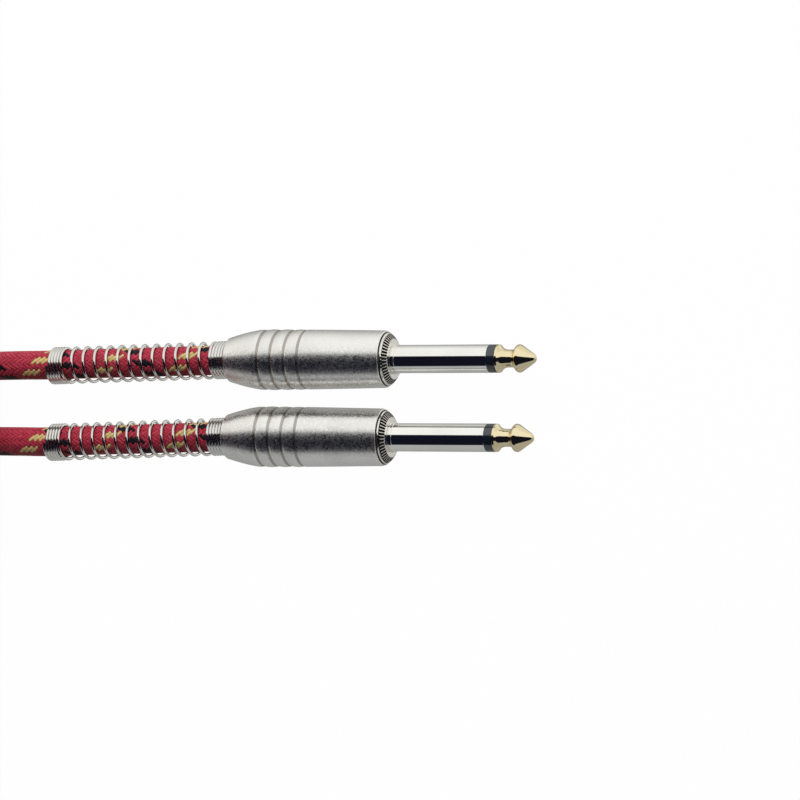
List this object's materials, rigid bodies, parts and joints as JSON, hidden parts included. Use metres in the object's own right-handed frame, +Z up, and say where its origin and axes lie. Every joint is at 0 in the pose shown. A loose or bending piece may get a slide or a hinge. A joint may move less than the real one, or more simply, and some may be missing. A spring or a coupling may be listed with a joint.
{
  "type": "instrument cable",
  "caption": "Braided instrument cable with a straight mono phone plug at each end, screw-on shells and coil-spring strain reliefs, hanked and tied with a hook-and-loop strap.",
  "frame": {"origin": "on the floor under the middle of the two plugs, their springs and the cord between them, measured without the free cord and its tie", "axes": "+Z up; +X is the way both plugs point, and the hank lies at -X; plug a is the one at +Y, plug b lies 0.6 mm behind it at -Y"},
  "size_m": [0.2646, 0.0608, 0.0374],
  "materials": {
    "gold_plate": "polished pale gold plating",
    "black_insulator": "gloss black",
    "white_plastic": "matt off-white",
    "chrome": "polished plating",
    "bright_nickel": "polished plating on the rim, serrated cone",
    "tinned_metal": "plain tinned sheet",
    "pearl_nickel": "sand-blasted pearl nickel plating",
    "spring_chrome": "polished plated wire",
    "braid": "crimson braid with gold and black flecks",
    "copper": "bare copper strands",
    "solder": "bright solder",
    "strap": "black hook-and-loop webbing"
  },
  "bodies": {
    "cable": {"tip_contact_a": "gold_plate", "tip_insulator_a": "black_insulator", "rod_insulator_a": "white_plastic", "shaft_sleeve_a": "chrome", "knurled_collar_a": "bright_nickel", "rear_insulator_a": "black_insulator", "tip_lug_a": "tinned_metal", "cable_clamp_a": "tinned_metal", "jacket_end_a": "braid", "shield_end_a": "copper", "core_end_a": "white_plastic", "conductor_end_a": "copper", "tip_solder_a": "solder", "earth_solder_a": "solder", "tip_contact_b": "gold_plate", "tip_insulator_b": "black_insulator", "rod_insulator_b": "white_plastic", "shaft_sleeve_b": "chrome", "knurled_collar_b": "bright_nickel", "rear_insulator_b": "black_insulator", "tip_lug_b": "tinned_metal", "cable_clamp_b": "tinned_metal", "jacket_end_b": "braid", "shield_end_b": "copper", "core_end_b": "white_plastic", "conductor_end_b": "copper", "tip_solder_b": "solder", "earth_solder_b": "solder", "cord_a": "braid", "cord_b": "braid", "hank": "braid", "tie": "strap"},
    "relief_a": {"insulating_tube_a": "white_plastic", "spring_a": "spring_chrome"},
    "shell_a": {"shell_a": "pearl_nickel"},
    "relief_b": {"insulating_tube_b": "white_plastic", "spring_b": "spring_chrome"},
    "shell_b": {"shell_b": "pearl_nickel"}
  },
  "joints": [
    {"name": "relief_a_slide", "type": "slide", "parent": "cable", "child": "relief_a", "axis": [-1, 0, 0], "range_m": [0, 0.0056]},
    {"name": "shell_a_turn", "type": "hinge", "parent": "relief_a", "child": "shell_a", "pos_m": [0.02645, 0.0088, 0.00695], "axis": [-1, 0, 0], "range_deg": [0, 2520]},
    {"name": "relief_b_slide", "type": "slide", "parent": "cable", "child": "relief_b", "axis": [-1, 0, 0], "range_m": [0, 0.0056]},
    {"name": "shell_b_turn", "type": "hinge", "parent": "relief_b", "child": "shell_b", "pos_m": [0.02585, -0.0088, 0.00695], "axis": [-1, 0, 0], "range_deg": [0, 2520]}
  ],
  "couplings": [
    {"joint": "shell_a_turn", "follows": "relief_a_slide", "rad_per_m": 7854},
    {"joint": "shell_b_turn", "follows": "relief_b_slide", "rad_per_m": 7854}
  ]
}
